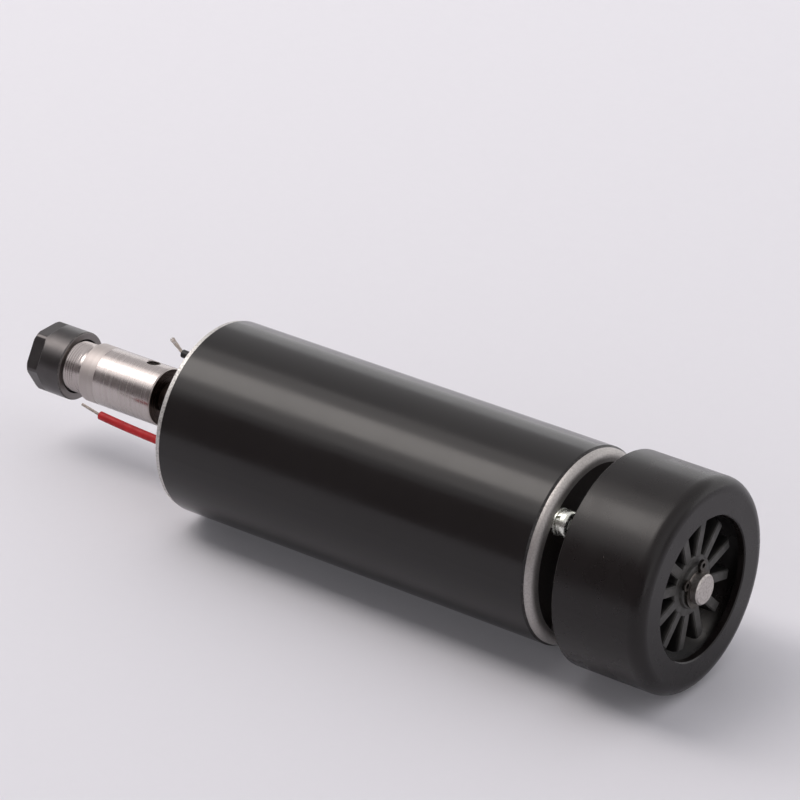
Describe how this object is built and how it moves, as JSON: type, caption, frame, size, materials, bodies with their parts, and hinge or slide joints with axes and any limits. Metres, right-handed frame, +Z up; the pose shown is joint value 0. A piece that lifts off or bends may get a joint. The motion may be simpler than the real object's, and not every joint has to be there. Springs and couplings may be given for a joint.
{
  "type": "motor spindle",
  "caption": "Air-cooled brushed motor spindle: round black motor body, fan under a rear cover, and a collet chuck with a clamping nut on the front shaft.",
  "frame": {"origin": "on the spindle axis, on the front face of the front end cap", "axes": "+X along the spindle axis towards the collet nut, +Z up as the spindle lies on its side, +Y across"},
  "size_m": [0.2096, 0.0562, 0.0562],
  "materials": {
    "tube_paint": "semi-gloss black paint",
    "cast_aluminium": "fine cast surface",
    "zinc_steel": "bright zinc plate",
    "cover_plastic": "satin moulded plastic",
    "fan_plastic": "matt moulded plastic",
    "shaft_steel": "ground steel",
    "chuck_steel": "ground steel, satin",
    "nut_steel": "dark oxide steel, satin",
    "collet_steel": "ground spring steel",
    "spring_steel": "dark phosphated spring steel",
    "bearing_steel": "polished bearing steel",
    "ferrite": "sintered ferrite",
    "lamination_steel": "stacked laminations",
    "copper": "enamelled copper",
    "phenolic": "phenolic laminate",
    "brass": "pressed brass",
    "carbon": "carbon graphite",
    "rubber": "moulded rubber",
    "red_insulation": "soft red insulation",
    "black_insulation": "soft black insulation",
    "tinned_copper": "tinned strands"
  },
  "bodies": {
    "stator": {"stator_tube": "tube_paint", "field_magnets": "ferrite", "front_end_cap": "cast_aluminium", "rear_end_cap": "cast_aluminium", "through_bolts": "zinc_steel", "plain_washers": "zinc_steel", "spring_washers": "zinc_steel", "bearing_disc_spring": "spring_steel", "brush_holder_plate": "phenolic", "brush_plate_screws": "zinc_steel", "brush_tubes": "brass", "carbon_brushes": "carbon", "brush_springs": "spring_steel", "fan_cover": "cover_plastic", "fan_cover_screws": "zinc_steel", "lead_grommets": "rubber", "red_lead": "red_insulation", "black_lead": "black_insulation", "red_lead_tip": "tinned_copper", "black_lead_tip": "tinned_copper", "front_bearing_outer_race": "bearing_steel", "front_bearing_shields": "bearing_steel", "rear_bearing_outer_race": "bearing_steel", "rear_bearing_shields": "bearing_steel"},
    "rotor": {"motor_shaft": "shaft_steel", "armature_core": "lamination_steel", "armature_winding": "copper", "commutator_hub": "phenolic", "commutator_segments": "copper", "fan_spacer": "shaft_steel", "cooling_fan": "fan_plastic", "fan_circlip": "spring_steel", "collet_chuck": "chuck_steel", "chuck_set_screws": "spring_steel", "front_bearing_inner_race": "bearing_steel", "rear_bearing_inner_race": "bearing_steel"},
    "front_ball_set": {"front_bearing_balls": "bearing_steel", "front_bearing_cage": "bearing_steel"},
    "rear_ball_set": {"rear_bearing_balls": "bearing_steel", "rear_bearing_cage": "bearing_steel"},
    "collet": {"spring_collet": "collet_steel"},
    "nut": {"collet_nut": "nut_steel"}
  },
  "joints": [
    {"name": "rotor_spin", "type": "hinge", "parent": "stator", "child": "rotor", "pos_m": [0, 0, 0], "axis": [1, 0, 0], "continuous": true},
    {"name": "front_balls_spin", "type": "hinge", "parent": "stator", "child": "front_ball_set", "pos_m": [-0.0055, 0, 0], "axis": [1, 0, 0], "continuous": true},
    {"name": "rear_balls_spin", "type": "hinge", "parent": "stator", "child": "rear_ball_set", "pos_m": [-0.1105, 0, 0], "axis": [1, 0, 0], "continuous": true},
    {"name": "collet_draw", "type": "slide", "parent": "rotor", "child": "collet", "axis": [1, 0, 0], "range_m": [0, 0.0047]},
    {"name": "nut_turn", "type": "hinge", "parent": "collet", "child": "nut", "pos_m": [0.05, 0, 0], "axis": [1, 0, 0], "range_deg": [0, 1800]}
  ],
  "couplings": [
    {"joint": "front_balls_spin", "follows": "rotor_spin", "ratio": 0.36767},
    {"joint": "rear_balls_spin", "follows": "rotor_spin", "ratio": 0.36767},
    {"joint": "collet_draw", "follows": "nut_turn", "m_per_rad": 0.00011937}
  ]
}
